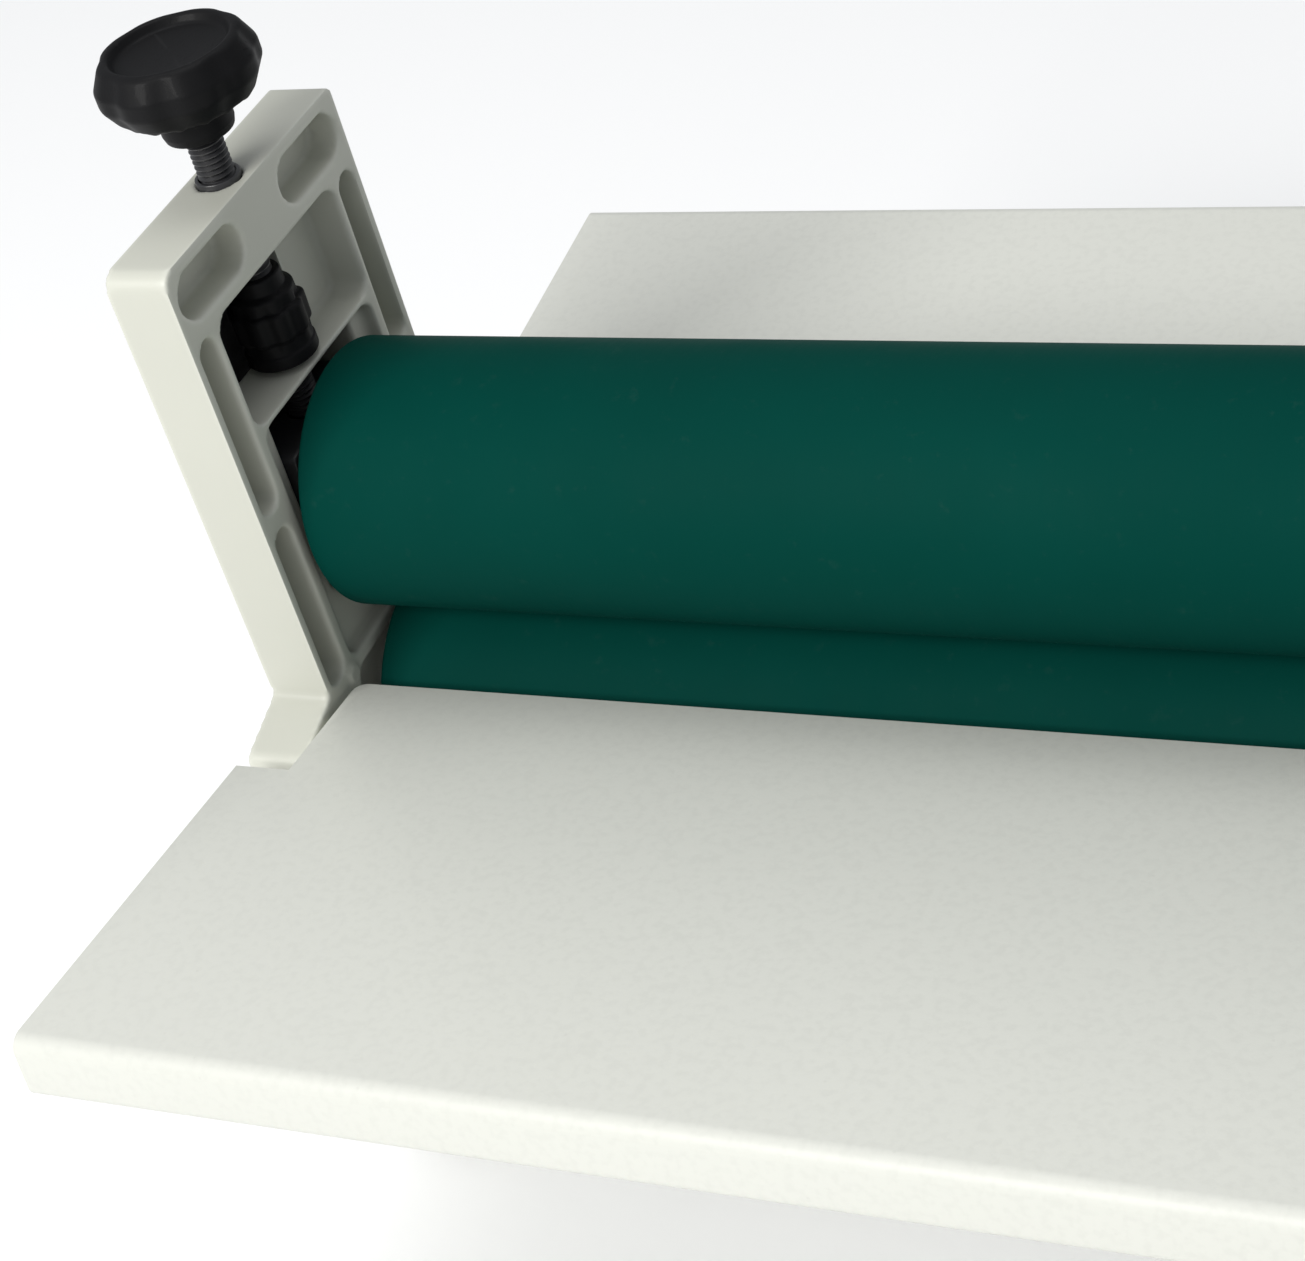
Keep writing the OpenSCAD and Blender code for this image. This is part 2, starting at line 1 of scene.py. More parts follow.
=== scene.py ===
"""Cold roll laminator: finished pieces, materials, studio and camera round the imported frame.

Lengths in the piece builders are millimetres and become metres when a piece is finished. The
frame gives every place and size that a piece has to meet.
"""

import json
import math

import bmesh
import bpy
from bpy.props import (
    FloatProperty,
    FloatVectorProperty,
    IntProperty,
    PointerProperty,
)
from mathutils import Matrix, Vector


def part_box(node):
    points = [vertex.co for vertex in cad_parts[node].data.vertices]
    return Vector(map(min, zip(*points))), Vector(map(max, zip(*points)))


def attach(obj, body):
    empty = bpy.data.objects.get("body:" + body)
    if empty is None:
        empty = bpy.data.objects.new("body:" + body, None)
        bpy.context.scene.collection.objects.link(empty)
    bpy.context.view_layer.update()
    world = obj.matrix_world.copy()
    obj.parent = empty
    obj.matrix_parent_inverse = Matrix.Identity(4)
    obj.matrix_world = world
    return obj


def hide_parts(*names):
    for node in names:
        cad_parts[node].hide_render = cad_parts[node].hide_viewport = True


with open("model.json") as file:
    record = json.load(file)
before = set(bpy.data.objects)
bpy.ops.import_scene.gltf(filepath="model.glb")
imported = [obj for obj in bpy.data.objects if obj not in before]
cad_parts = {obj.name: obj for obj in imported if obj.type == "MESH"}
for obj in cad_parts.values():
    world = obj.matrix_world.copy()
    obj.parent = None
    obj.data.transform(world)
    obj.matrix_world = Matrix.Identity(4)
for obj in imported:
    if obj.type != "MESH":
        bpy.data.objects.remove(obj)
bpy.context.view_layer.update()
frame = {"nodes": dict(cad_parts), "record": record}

bl_info = {
    "name": "Cold Roll Laminator",
    "version": (1, 0, 0),
    "blender": (4, 5, 0),
    "location": "3D View > Sidebar > Laminator",
    "description": "Builds the finished pieces of a hand-cranked cold roll laminator",
    "category": "Add Mesh",
}

MM = 0.001
SIDES = ("left", "right")
ROWS = ("front", "rear")
LEVELS = ("lower", "upper")
BODY_OF = {
    node: body
    for body, nodes in frame["record"]["behaviour"]["bodies"].items()
    for node in nodes
}
SLOT_OF = {part["node"]: part["material_slot"] for part in frame["record"]["subparts"]}


# ---------------------------------------------------------------- settings


class LaminatorShape(bpy.types.PropertyGroup):
    """Sizes of the details that the frame leaves open."""

    cast_grid: FloatProperty(
        name="Casting Grid", description="Mesh size of the rounded castings",
        default=0.00086, min=0.0006, max=0.003, unit="LENGTH", precision=5,
    )
    block_grid: FloatProperty(
        name="Block Grid", description="Mesh size of the rounded bearing blocks",
        default=0.0005, min=0.0003, max=0.001, unit="LENGTH", precision=5,
    )
    cast_rounds: IntProperty(
        name="Casting Rounds", description="Smoothing passes that round the casting's edges",
        default=2, min=1, max=20,
    )
    block_rounds: IntProperty(
        name="Block Rounds", description="Smoothing passes that round the blocks' edges",
        default=4, min=1, max=20,
    )
    thread_pitch: FloatProperty(
        name="Thread Pitch", description="Pitch of the pressure spindles",
        default=0.00125, min=0.0008, max=0.002, unit="LENGTH", precision=5,
    )
    knob_lobes: IntProperty(
        name="Knob Lobes", description="Finger lobes round each hand knob",
        default=8, min=3, max=12,
    )
    nut_lobes: IntProperty(
        name="Lock Nut Lobes", description="Lobes round each lock nut",
        default=9, min=5, max=16,
    )
    rubber_round: FloatProperty(
        name="Rubber Edge", description="Round at the ends of the roller covering",
        default=0.0012, min=0.0004, max=0.003, unit="LENGTH", precision=4,
    )


class LaminatorColours(bpy.types.PropertyGroup):
    """Base colours of the finishes."""

    casting: FloatVectorProperty(
        name="Casting Paint", description="Cream white paint of the end castings",
        subtype="COLOR", default=(0.545, 0.55, 0.485), min=0, max=1,
    )
    table: FloatVectorProperty(
        name="Table Paint", description="Off-white powder coat of the tables",
        subtype="COLOR", default=(0.617, 0.624, 0.572), min=0, max=1,
    )
    rubber: FloatVectorProperty(
        name="Roller Rubber", description="Green covering of the rollers",
        subtype="COLOR", default=(0.0, 0.042, 0.0325), min=0, max=1,
    )
    plastic: FloatVectorProperty(
        name="Black Plastic", description="Knobs, lock nuts and grip",
        subtype="COLOR", default=(0.006, 0.006, 0.0066), min=0, max=1,
    )
    floor: FloatVectorProperty(
        name="Floor", description="Pale studio floor",
        subtype="COLOR", default=(0.97, 0.97, 0.97), min=0, max=1,
    )


class LaminatorView(bpy.types.PropertyGroup):
    """Where the camera stands and how it looks."""

    place: FloatVectorProperty(
        name="Place", description="Camera position", subtype="XYZ", unit="LENGTH",
        default=(-0.0598, -0.4370, 0.5049),
    )
    turn: FloatProperty(
        name="Turn", description="Turn to the left of straight ahead",
        default=math.radians(31.11), subtype="ANGLE",
    )
    tilt: FloatProperty(
        name="Tilt", description="Tilt below the horizon",
        default=math.radians(35.96), subtype="ANGLE",
    )
    roll: FloatProperty(
        name="Roll", description="Roll about the line of sight",
        default=math.radians(16.55), subtype="ANGLE",
    )
    lens: FloatProperty(
        name="Lens", description="Focal length on a 36 mm sensor",
        default=79.48, min=10, max=300, subtype="DISTANCE_CAMERA",
    )
    shift: FloatProperty(
        name="Shift", description="Lens shift to the left and down",
        default=0.03, min=0, max=0.1,
    )


def shape():
    """The sizes that the panel shows."""
    return bpy.context.scene.laminator_shape


def colours():
    """The base colours that the panel shows."""
    return bpy.context.scene.laminator_colours


# ---------------------------------------------------------------- shader tools


# Sockets of a Mix node that mixes colours, by their number.
MIX_FACTOR, MIX_FIRST, MIX_SECOND = 0, 6, 7
MIX_RESULT = 2


class Value:
    """A socket's number, so that shader maths reads as an expression."""

    def __init__(self, tree, socket):
        self.tree = tree
        self.socket = socket

    def maths(self, operation, *others, swap=False):
        """A Math node of this value and others, in turned order if they are swapped."""
        node = self.tree.nodes.new("ShaderNodeMath")
        node.operation = operation
        terms = [self, *others]
        if swap:
            terms.reverse()
        for target, term in zip(node.inputs, terms):
            if isinstance(term, Value):
                self.tree.links.new(term.socket, target)
            else:
                target.default_value = term
        return Value(self.tree, node.outputs[0])

    def __add__(self, other):
        return self.maths("ADD", other)

    def __sub__(self, other):
        return self.maths("SUBTRACT", other)

    def __rsub__(self, other):
        return self.maths("SUBTRACT", other, swap=True)

    def __mul__(self, other):
        return self.maths("MULTIPLY", other)

    def __truediv__(self, other):
        return self.maths("DIVIDE", other)

    def __rtruediv__(self, other):
        return self.maths("DIVIDE", other, swap=True)

    __radd__ = __add__
    __rmul__ = __mul__

    def over(self, edge, softness):
        """0 below edge and 1 above it, with a soft step."""
        step = (self - (edge - softness)) / (2 * softness)
        return step.maths("MINIMUM", 1.0).maths("MAXIMUM", 0.0)


class Finish:
    """One procedural material, and the one way in which its nodes are made."""

    def __init__(self, name, base, roughness, **fixed):
        self.material = bpy.data.materials.new(name)
        self.material.use_nodes = True
        self.material.diffuse_color = (*base, 1.0)
        self.tree = self.material.node_tree
        self.shader = self.tree.nodes["Principled BSDF"]
        self.base = (*base, 1.0)
        self.coords = self.node("ShaderNodeTexCoord").outputs["Object"]
        self.feed({"Base Color": self.base, "Roughness": roughness, **fixed})

    def node(self, kind, settings=None, sockets=None):
        """A node of a type, with its settings, and values or links for its sockets."""
        made = self.tree.nodes.new(kind)
        for key, setting in (settings or {}).items():
            if key == "stops":
                elements = made.color_ramp.elements
                while len(elements) < len(setting):
                    elements.new(1.0)
                for element, (position, colour) in zip(elements, setting):
                    element.position = position
                    element.color = colour
            else:
                setattr(made, key, setting)
        self.connect(made, sockets or {})
        return made

    def connect(self, node, sockets):
        for key, given in sockets.items():
            given = given.socket if isinstance(given, Value) else given
            if isinstance(given, bpy.types.NodeSocket):
                self.tree.links.new(given, node.inputs[key])
            else:
                node.inputs[key].default_value = given

    def feed(self, sockets):
        """Sets or links sockets of the shader."""
        self.connect(self.shader, sockets)

    def value(self, socket):
        return Value(self.tree, socket)

    def stretched(self, scale):
        """Object coordinates, stretched by a scale on each axis."""
        made = self.node("ShaderNodeMapping", sockets={"Vector": self.coords, "Scale": scale})
        return made.outputs["Vector"]

    def noise(self, scale, detail=2.0, roughness=0.5, vector=None):
        made = self.node("ShaderNodeTexNoise", sockets={
            "Vector": vector or self.coords, "Scale": scale,
            "Detail": detail, "Roughness": roughness,
        })
        return self.value(made.outputs["Fac"])

    def cells(self, scale):
        """Distance to the middle of the nearest cell."""
        made = self.node("ShaderNodeTexVoronoi", sockets={"Vector": self.coords, "Scale": scale})
        return self.value(made.outputs["Distance"])

    def axis(self, letter):
        """One of the object coordinates, in metres."""
        made = self.node("ShaderNodeSeparateXYZ", sockets={"Vector": self.coords})
        return self.value(made.outputs[letter])

    def edges(self):
        """0.5 on flats, more on outside edges and less in corners."""
        return self.value(self.node("ShaderNodeNewGeometry").outputs["Pointiness"])

    def mix(self, factor, first, second):
        """Goes from the first colour to the second as the factor goes from 0 to 1."""
        made = self.node("ShaderNodeMix", {"data_type": "RGBA"}, {
            MIX_FACTOR: factor, MIX_FIRST: first, MIX_SECOND: second,
        })
        return made.outputs[MIX_RESULT]

    def tint(self, share):
        """The base colour made lighter or darker."""
        red, green, blue = self.base[:3]
        return (red * share, green * share, blue * share, 1.0)

    def bump(self, height, depth, under=None):
        """A normal for a relief of a depth in metres, on top of another relief or alone."""
        sockets = {"Height": height, "Distance": depth, "Strength": 1.0}
        if under is not None:
            sockets["Normal"] = under
        return self.node("ShaderNodeBump", sockets=sockets).outputs[0]


# ---------------------------------------------------------------- finishes


def casting_paint():
    """Cream sprayed paint over an as-cast aluminium surface, with painted shade in its corners
    and a painted highlight along its edges.
    """
    paint = Finish("casting_paint", colours().casting, 0.42, **{"Specular IOR Level": 0.45})
    broad = paint.noise(26, 3.0)
    grain = paint.noise(900, 3.0, 0.6)
    pits = 1.0 - paint.cells(420).over(0.10, 0.05)
    # Painted shade: the mask picks out concave corners and pocket floors, where shade would
    # gather.
    corners = 1.0 - paint.edges().over(0.47, 0.03)
    worn = paint.edges().over(0.56, 0.03) * paint.noise(160, 3.0).over(0.60, 0.06)
    tone = paint.mix(broad, paint.tint(0.965), paint.tint(1.02))
    # Painted shade: darker grey paint in the concave corners and pockets, standing in for
    # occlusion shade.
    tone = paint.mix(corners * 0.35, tone, (0.24, 0.25, 0.21, 1.0))
    # Painted highlight: lighter paint along the outside edges of the ribs, where light would
    # catch them.
    tone = paint.mix(paint.edges().over(0.53, 0.02) * 0.30, tone, (0.74, 0.75, 0.68, 1.0))
    tone = paint.mix(worn * 0.20, tone, (0.42, 0.42, 0.39, 1.0))
    peel = paint.bump(paint.noise(340, 2.0, 0.45), 0.03 * MM)
    skin = paint.bump(grain - pits * 0.6, 0.014 * MM, under=peel)
    paint.feed({"Base Color": tone, "Roughness": 0.36 + grain * 0.16, "Normal": skin})
    return paint.material


def table_paint():
    """Off-white powder coat with a fine orange peel."""
    paint = Finish("table_paint", colours().table, 0.45, **{"Specular IOR Level": 0.45})
    cloud = paint.noise(9, 3.0)
    peel = paint.noise(520, 2.0, 0.5)
    fine = paint.noise(1500, 2.0, 0.6)
    speck = 1.0 - paint.cells(110).over(0.035, 0.012)
    rubbed = paint.edges().over(0.58, 0.03)
    tone = paint.mix(cloud, paint.tint(0.975), paint.tint(1.015))
    tone = paint.mix(peel.over(0.44, 0.10), paint.tint(0.955), tone)
    tone = paint.mix(speck * 0.10, tone, (0.30, 0.29, 0.26, 1.0))
    tone = paint.mix(rubbed * 0.12, tone, (0.72, 0.72, 0.70, 1.0))
    normal = paint.bump(peel + fine * 0.3, 0.03 * MM)
    roughness = 0.40 + cloud * 0.08 + fine * 0.08
    paint.feed({"Base Color": tone, "Roughness": roughness, "Normal": normal})
    return paint.material


def roller_rubber():
    """Ground silicone rubber, with the marks of the grinding wheel running round it."""
    rubber = Finish("roller_rubber", colours().rubber, 0.7, **{"Specular IOR Level": 0.03})
    cloud = rubber.noise(14, 4.0, 0.6)
    ground = rubber.noise(1.0, 3.0, 0.6, vector=rubber.stretched((1500, 60, 60)))
    grain = rubber.noise(2200, 2.0)
    dust = rubber.noise(240, 4.0, 0.7).over(0.66, 0.05)
    handled = rubber.noise(22, 3.0, 0.6).over(0.56, 0.08)
    tone = rubber.mix(cloud, rubber.tint(0.86), rubber.tint(1.14))
    tone = rubber.mix(dust * 0.02, tone, (0.16, 0.22, 0.20, 1.0))
    roughness = 0.56 + ground * 0.10 + handled * 0.06 + grain * 0.05
    normal = rubber.bump(ground * 0.5 + grain * 0.5, 0.02 * MM)
    rubber.feed({"Base Color": tone, "Roughness": roughness, "Normal": normal})
    return rubber.material


def black_plastic():
    """Moulded black plastic with a soft gloss and handling marks."""
    plastic = Finish("black_plastic", colours().plastic, 0.4,
                     **{"Specular IOR Level": 0.10, "Coat Weight": 0.02, "Coat Roughness": 0.08})
    haze = plastic.noise(90, 4.0, 0.6)
    grain = plastic.noise(1400, 2.0)
    lines = plastic.noise(1.0, 2.0, 0.7, vector=plastic.stretched((2600, 300, 420)))
    scratch = lines.over(0.68, 0.03)
    rubbed = plastic.edges().over(0.55, 0.04)
    tone = plastic.mix(haze, plastic.tint(0.8), plastic.tint(1.35))
    tone = plastic.mix(rubbed * 0.3, tone, (0.02, 0.02, 0.021, 1.0))
    roughness = 0.46 + haze * 0.14 + scratch * 0.14 + rubbed * 0.06
    plastic.feed({"Base Color": tone, "Roughness": roughness,
                  "Normal": plastic.bump(grain - scratch * 0.4, 0.03 * MM)})
    return plastic.material


def cover_plastic():
    """Charcoal plastic with a spark-eroded mould texture."""
    plastic = Finish("cover_plastic", (0.032, 0.032, 0.034), 0.6, **{"Specular IOR Level": 0.3})
    texture = plastic.cells(1100)
    haze = plastic.noise(60, 3.0)
    tone = plastic.mix(haze, plastic.tint(0.85), plastic.tint(1.25))
    plastic.feed({"Base Color": tone, "Roughness": 0.52 + haze * 0.12,
                  "Normal": plastic.bump(texture, 0.08 * MM)})
    return plastic.material


def turned_steel():
    """Bright steel with turning marks square to the rollers' axis."""
    steel = Finish("bright_steel", (0.60, 0.61, 0.62), 0.3, Metallic=1.0)
    marks = steel.noise(1.0, 3.0, 0.6, vector=steel.stretched((2600, 40, 40)))
    stain = steel.noise(70, 4.0, 0.65).over(0.60, 0.08)
    tone = steel.mix(stain * 0.30, steel.base, (0.36, 0.33, 0.29, 1.0))
    steel.feed({"Base Color": tone, "Roughness": 0.22 + marks * 0.18 + stain * 0.12,
                "Normal": steel.bump(marks, 0.02 * MM)})
    return steel.material


def zinc_plate():
    """Bright zinc on fasteners, a little clouded."""
    zinc = Finish("zinc_steel", (0.50, 0.515, 0.53), 0.34, Metallic=1.0)
    cloud = zinc.noise(420, 3.0, 0.6)
    dull = zinc.noise(150, 3.0).over(0.55, 0.08)
    tone = zinc.mix(cloud, (0.44, 0.455, 0.48, 1.0), (0.60, 0.60, 0.585, 1.0))
    zinc.feed({"Base Color": tone, "Roughness": 0.28 + dull * 0.18,
               "Normal": zinc.bump(cloud, 0.02 * MM)})
    return zinc.material


def blackened_steel():
    """Chemically blackened steel under a film of oil."""
    steel = Finish("blackened_steel", (0.022, 0.022, 0.024), 0.38, **{"Coat Weight": 0.15})
    mottle = steel.noise(260, 4.0, 0.6)
    bare = steel.edges().over(0.57, 0.03) * steel.noise(500, 2.0).over(0.5, 0.08)
    tone = steel.mix(mottle, steel.tint(0.75), steel.tint(1.4))
    tone = steel.mix(bare * 0.5, tone, (0.20, 0.20, 0.20, 1.0))
    steel.feed({"Base Color": tone, "Metallic": bare * 0.8, "Roughness": 0.30 + mottle * 0.2,
                "Normal": steel.bump(mottle, 0.02 * MM)})
    return steel.material


def bronze():
    """Sintered bronze bushes, full of fine pores."""
    metal = Finish("bronze", (0.43, 0.27, 0.11), 0.42, Metallic=1.0)
    pores = 1.0 - metal.cells(1700).over(0.18, 0.06)
    cloud = metal.noise(200, 3.0)
    tone = metal.mix(cloud, metal.tint(0.75), metal.tint(1.1))
    tone = metal.mix(pores * 0.5, tone, (0.09, 0.05, 0.02, 1.0))
    metal.feed({"Base Color": tone, "Roughness": 0.34 + pores * 0.2,
                "Normal": metal.bump(1.0 - pores, 0.03 * MM)})
    return metal.material


def foot_rubber():
    """Black moulded rubber, dusty low down."""
    rubber = Finish("foot_rubber", (0.022, 0.022, 0.022), 0.75)
    grain = rubber.noise(900, 3.0, 0.6)
    dust = (1.0 - rubber.axis("Z").over(0.004, 0.004)) * rubber.noise(300, 3.0)
    tone = rubber.mix(dust * 0.35, rubber.base, (0.16, 0.15, 0.14, 1.0))
    rubber.feed({"Base Color": tone, "Roughness": 0.66 + grain * 0.16,
                 "Normal": rubber.bump(grain, 0.06 * MM)})
    return rubber.material


MAKERS = {
    "frame_paint": casting_paint,
    "table_paint": table_paint,
    "roller_rubber": roller_rubber,
    "black_plastic": black_plastic,
    "cover_plastic": cover_plastic,
    "bright_steel": turned_steel,
    "zinc_steel": zinc_plate,
    "blackened_steel": blackened_steel,
    "bronze": bronze,
    "foot_rubber": foot_rubber,
}
finishes = {}


def finish_of(slot):
    """The material of a slot, made when it is first asked for."""
    if slot not in finishes:
        finishes[slot] = MAKERS[slot]()
    return finishes[slot]


# ---------------------------------------------------------------- mesh tools


# Points closer than this are one: in millimetres on lathed and threaded pieces, and in metres
# on CAD meshes.
LATHE_MERGE = 1e-4
THREAD_MERGE = 1e-3
CAD_MERGE = 1e-6
# CAD triangles that meet at less than this lie in one flat face.
FLAT_ANGLE = math.radians(0.4)


def rounded(corners, closed=False, steps=5):
    """An outline of (x, y, radius) corners, with an arc at each corner that has a radius."""
    points = []
    count = len(corners)
    for index, (x, y, radius) in enumerate(corners):
        at_end = not closed and index in (0, count - 1)
        if at_end or radius <= 0:
            points.append((x, y))
            continue
        here = Vector((x, y))
        back = (Vector(corners[index - 1][:2]) - here).normalized()
        ahead = (Vector(corners[(index + 1) % count][:2]) - here).normalized()
        half = back.angle(ahead) / 2
        middle = here + (back + ahead).normalized() * (radius / math.sin(half))
        first = here + back * (radius / math.tan(half)) - middle
        last = here + ahead * (radius / math.tan(half)) - middle
        for step in range(steps + 1):
            share = step / steps
            points.append(tuple(middle + radius * first.slerp(last, share).normalized()))
    return points


def lathed(outline, turns=96, closed=False):
    """Spins an outline of (radius, height) about Z."""
    bm = bmesh.new()
    verts = [bm.verts.new((radius, 0, height)) for radius, height in outline]
    pairs = list(zip(verts, verts[1:]))
    if closed:
        pairs.append((verts[-1], verts[0]))
    edges = [bm.edges.new(pair) for pair in pairs]
    bmesh.ops.spin(bm, geom=verts + edges, axis=(0, 0, 1), cent=(0, 0, 0),
                   angle=2 * math.pi, steps=turns, use_merge=True)
    bmesh.ops.remove_doubles(bm, verts=bm.verts, dist=LATHE_MERGE)
    bmesh.ops.recalc_face_normals(bm, faces=bm.faces)
    return bm


def add_lathed(bm, outline, turns=48):
    """Adds a lathed shape to a piece as a shell of its own."""
    extra = lathed(outline, turns=turns)
    mesh = bpy.data.meshes.new("extra")
    extra.to_mesh(mesh)
    extra.free()
    bm.from_mesh(mesh)
    bpy.data.meshes.remove(mesh)


def threaded(crest, root, pitch, start, turns, steps=28):
    """A thread of whole turns wound up Z from a height, with both its ends closed."""
    bm = bmesh.new()
    flank = [(root, 0), (crest, 0.42 * pitch), (crest, 0.58 * pitch), (root, pitch)]
    verts = [bm.verts.new((radius, 0, start + height)) for radius, height in flank]
    edges = [bm.edges.new(pair) for pair in zip(verts, verts[1:])]
    bmesh.ops.spin(bm, geom=verts + edges, axis=(0, 0, 1), cent=(0, 0, 0),
                   dvec=(0, 0, pitch / steps), angle=2 * math.pi * turns, steps=turns * steps)
    bmesh.ops.remove_doubles(bm, verts=bm.verts, dist=THREAD_MERGE)
    rims = [edge for edge in bm.edges if edge.is_boundary]
    bmesh.ops.holes_fill(bm, edges=rims, sides=0)
    return bm


def along_x(bm):
    """Turns a lathed piece from Z to the X axis."""
    quarter = Matrix.Rotation(math.pi / 2, 3, "Y")
    bmesh.ops.rotate(bm, verts=bm.verts, cent=(0, 0, 0), matrix=quarter)


def merged_copy(node):
    """A CAD node's mesh, with its loose triangles merged into flat faces."""
    bm = bmesh.new()
    bm.from_mesh(frame["nodes"][node].data)
    bmesh.ops.remove_doubles(bm, verts=bm.verts, dist=CAD_MERGE)
    return bm


def soften(bm, width, segments=2, angle=28):
    """Rounds every edge that is sharper than an angle in degrees."""
    bmesh.ops.dissolve_limit(bm, angle_limit=FLAT_ANGLE, verts=bm.verts, edges=bm.edges,
                             use_dissolve_boundaries=False, delimit=set())
    sharp = [edge for edge in bm.edges
             if edge.is_manifold and edge.calc_face_angle(0.0) > math.radians(angle)]
    bmesh.ops.bevel(bm, geom=sharp, offset=width, offset_type="OFFSET", segments=segments,
                    profile=0.5, affect="EDGES", clamp_overlap=True, material=-1)


def finish_piece(bm, name, *nodes, scale=1.0, place=(0, 0, 0), sharp=35):
    """Makes the object of a piece, and ties it to the CAD nodes that it stands for."""
    bmesh.ops.scale(bm, verts=bm.verts, vec=(scale, scale, scale))
    bmesh.ops.translate(bm, verts=bm.verts, vec=place)
    mesh = bpy.data.meshes.new(name)
    bm.to_mesh(mesh)
    bm.free()
    finish_mesh(mesh, name, *nodes, sharp=sharp)


def finish_mesh(mesh, name, *nodes, sharp=35):
    """Makes the object of a mesh in its place, with its finish, body and CAD nodes."""
    mesh.shade_smooth()
    mesh.set_sharp_from_angle(angle=math.radians(sharp))
    piece = bpy.data.objects.new(name, mesh)
    bpy.context.scene.collection.objects.link(piece)
    slot = SLOT_OF[nodes[0]]
    mesh.materials.clear()
    mesh.materials.append(finish_of(slot))
    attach(piece, BODY_OF[nodes[0]])
    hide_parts(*nodes)


def edged_copy(node, width, segments=2):
    """Finishes a CAD node as it is, with its edges rounded to a width in millimetres."""
    bm = merged_copy(node)
    soften(bm, width * MM, segments=segments)
    finish_piece(bm, f"{node}_edged", node)


def skinned(node, grid, rounds):
    """A CAD node's mesh on a fine grid, with every edge and corner rounded by smoothing."""
    bm = merged_copy(node)
    mesh = bpy.data.meshes.new("blank")
    bm.to_mesh(mesh)
    bm.free()
    blank = bpy.data.objects.new("blank", mesh)
    bpy.context.scene.collection.objects.link(blank)
    remesh = blank.modifiers.new("skin", "REMESH")
    remesh.mode = "VOXEL"
    remesh.voxel_size = grid
    smooth = blank.modifiers.new("round", "SMOOTH")
    smooth.factor = 0.5
    smooth.iterations = rounds
    graph = bpy.context.evaluated_depsgraph_get()
    skin = bpy.data.meshes.new_from_object(blank.evaluated_get(graph), depsgraph=graph)
    bpy.data.objects.remove(blank)
    bpy.data.meshes.remove(mesh)
    return skin


def middle_of(node):
    """The middle of a node's box."""
    low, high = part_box(node)
    return (low + high) / 2


def foot_of(node):
    """Where an upright piece stands over the rollers' centre line."""
    low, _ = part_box(node)
    return (middle_of(node).x, 0, low.z)


def start_of(node):
    """Where a piece that lies along X starts, on the grip's axis."""
    low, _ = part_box(node)
    return (low.x, 0, middle_of(node).z)


def polar(point):
    """A point's distance from the Z axis and its angle round it."""
    return math.hypot(point.x, point.y), math.atan2(point.y, point.x)


def press_in(point, share):
    """Moves a point towards the Z axis by a share of its distance."""
    point.x *= 1.0 - share
    point.y *= 1.0 - share


def lobes(angle, count):
    """1 at the middle of each lobe and 0 between two."""
    return 0.5 + 0.5 * math.cos(count * angle)


# ---------------------------------------------------------------- pieces


class LAMINATOR_OT_castings(bpy.types.Operator):
    """Rounds the two end castings as a mould and paint leave them"""

    bl_idname = "laminator.castings"
    bl_label = "End Castings"

    def execute(self, context):
        for side in SIDES:
            node = f"frame_{side}"
            skin = skinned(node, shape().cast_grid, shape().cast_rounds)
            finish_mesh(skin, f"casting_{side}", node, sharp=60)
        return {"FINISHED"}


class LAMINATOR_OT_tables(bpy.types.Operator):
    """Front and rear feed tables, folded from sheet"""

    bl_idname = "laminator.tables"
    bl_label = "Feed Tables"

    def execute(self, context):
        for row in ROWS:
            bm = merged_copy(f"{row}_table")
            soften(bm, 0.35 * MM, segments=3, angle=40)
            finish_piece(bm, f"table_{row}", f"{row}_table")
        return {"FINISHED"}


class LAMINATOR_OT_rollers(bpy.types.Operator):
    """Rubber coverings of both rollers"""

    bl_idname = "laminator.rollers"
    bl_label = "Rollers"

    def execute(self, context):
        for level in LEVELS:
            node = f"{level}_roller_rubber"
            low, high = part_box(node)
            radius = (high.y - low.y) / 2 / MM
            half = (high.x - low.x) / 2 / MM
            tube_low, tube_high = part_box(f"{level}_roller_tube")
            bore = (tube_high.y - tube_low.y) / 2 / MM
            edge = shape().rubber_round / MM
            outline = rounded([
                (bore, -half, 0), (radius, -half, edge), (radius, half, edge), (bore, half, 0),
            ], closed=True)
            bm = lathed(outline, turns=160, closed=True)
            along_x(bm)
            finish_piece(bm, f"roller_{level}_rubber", node, scale=MM, place=middle_of(node))
        return {"FINISHED"}


